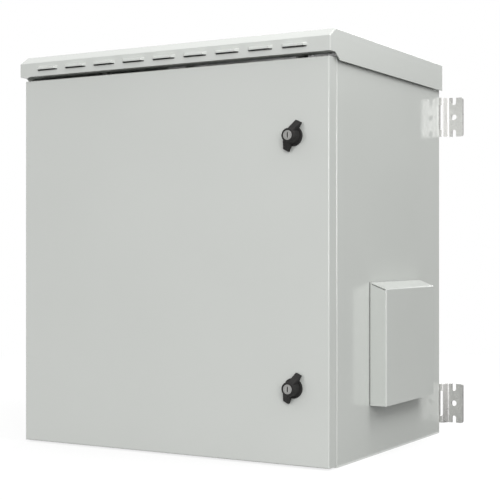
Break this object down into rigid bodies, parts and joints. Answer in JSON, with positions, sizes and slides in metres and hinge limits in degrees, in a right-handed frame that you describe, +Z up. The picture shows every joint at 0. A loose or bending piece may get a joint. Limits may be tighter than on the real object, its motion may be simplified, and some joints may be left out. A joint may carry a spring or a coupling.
{
  "type": "roadside utility cabinet",
  "caption": "Wall or pole mounted outdoor equipment cabinet: hinged overlay door with wing-knob locks, louvred roof canopy, side fan hood, rack rails and stepped wall brackets.",
  "frame": {"origin": "middle of the flat underside of the base", "axes": "+X right as one faces the door, +Y back towards the wall, +Z up"},
  "size_m": [0.6814, 0.4978, 0.681],
  "materials": {
    "grey_paint": "light grey semi-gloss powder coat",
    "zinc_steel": "zinc plated",
    "black_plastic": "fine satin",
    "nickel": "satin nickel",
    "black_rubber": "matte",
    "filter_fleece": "fibre mat",
    "brass": "bright"
  },
  "bodies": {
    "cabinet": {"base_panel": "grey_paint", "bracket_bolts": "zinc_steel", "bracket_nuts": "zinc_steel", "cable_grommets": "black_rubber", "earth_nut": "brass", "earth_stud": "brass", "fan_guard": "zinc_steel", "fan_housing": "black_plastic", "fan_nuts": "zinc_steel", "fan_screws": "zinc_steel", "filter_mat": "filter_fleece", "gland_plate": "zinc_steel", "gland_screws": "zinc_steel", "hinge_screws": "zinc_steel", "hood_nuts": "zinc_steel", "hood_seal": "black_rubber", "left_front_rail": "zinc_steel", "left_rear_rail": "zinc_steel", "left_side_panel": "grey_paint", "lower_hinge_body_leaf": "zinc_steel", "lower_hinge_pin": "zinc_steel", "lower_left_rail_support": "zinc_steel", "lower_left_wall_bracket": "zinc_steel", "lower_right_rail_support": "zinc_steel", "lower_right_wall_bracket": "zinc_steel", "rail_bolts": "zinc_steel", "rail_nuts": "zinc_steel", "rear_panel": "grey_paint", "right_front_rail": "zinc_steel", "right_rear_rail": "zinc_steel", "right_side_panel": "grey_paint", "roof_cover": "grey_paint", "roof_nuts": "zinc_steel", "roof_spacers": "zinc_steel", "side_hood": "grey_paint", "top_panel": "grey_paint", "upper_hinge_body_leaf": "zinc_steel", "upper_hinge_pin": "zinc_steel", "upper_left_rail_support": "zinc_steel", "upper_left_wall_bracket": "zinc_steel", "upper_right_rail_support": "zinc_steel", "upper_right_wall_bracket": "zinc_steel"},
    "door": {"door_panel": "grey_paint", "door_gasket": "black_rubber", "upper_hinge_door_leaf": "zinc_steel", "lower_hinge_door_leaf": "zinc_steel", "upper_lock_housing": "black_plastic", "lower_lock_housing": "black_plastic", "upper_lock_nut": "zinc_steel", "lower_lock_nut": "zinc_steel"},
    "upper_knob": {"upper_wing_knob": "black_plastic", "upper_lock_cam": "zinc_steel", "upper_cam_screw": "zinc_steel"},
    "lower_knob": {"lower_wing_knob": "black_plastic", "lower_lock_cam": "zinc_steel", "lower_cam_screw": "zinc_steel"},
    "upper_plug": {"upper_lock_plug": "nickel"},
    "lower_plug": {"lower_lock_plug": "nickel"},
    "rotor": {"fan_rotor": "black_plastic"}
  },
  "joints": [
    {"name": "door_hinge", "type": "hinge", "parent": "cabinet", "child": "door", "pos_m": [-0.293, -0.2364, 0.32], "axis": [0, 0, -1], "range_deg": [0, 120]},
    {"name": "upper_knob_turn", "type": "hinge", "parent": "door", "child": "upper_knob", "pos_m": [0.2383, -0.25, 0.5165], "axis": [0, 1, 0], "range_deg": [-26, 64]},
    {"name": "upper_key_turn", "type": "hinge", "parent": "upper_knob", "child": "upper_plug", "pos_m": [0.2383, -0.26, 0.5165], "axis": [0, 1, 0], "range_deg": [0, 90]},
    {"name": "lower_knob_turn", "type": "hinge", "parent": "door", "child": "lower_knob", "pos_m": [0.2383, -0.25, 0.1235], "axis": [0, 1, 0], "range_deg": [-26, 64]},
    {"name": "lower_key_turn", "type": "hinge", "parent": "lower_knob", "child": "lower_plug", "pos_m": [0.2383, -0.26, 0.1235], "axis": [0, 1, 0], "range_deg": [0, 90]},
    {"name": "fan_spin", "type": "hinge", "parent": "cabinet", "child": "rotor", "pos_m": [0.278, 0.009, 0.19], "axis": [1, 0, 0], "continuous": true}
  ]
}
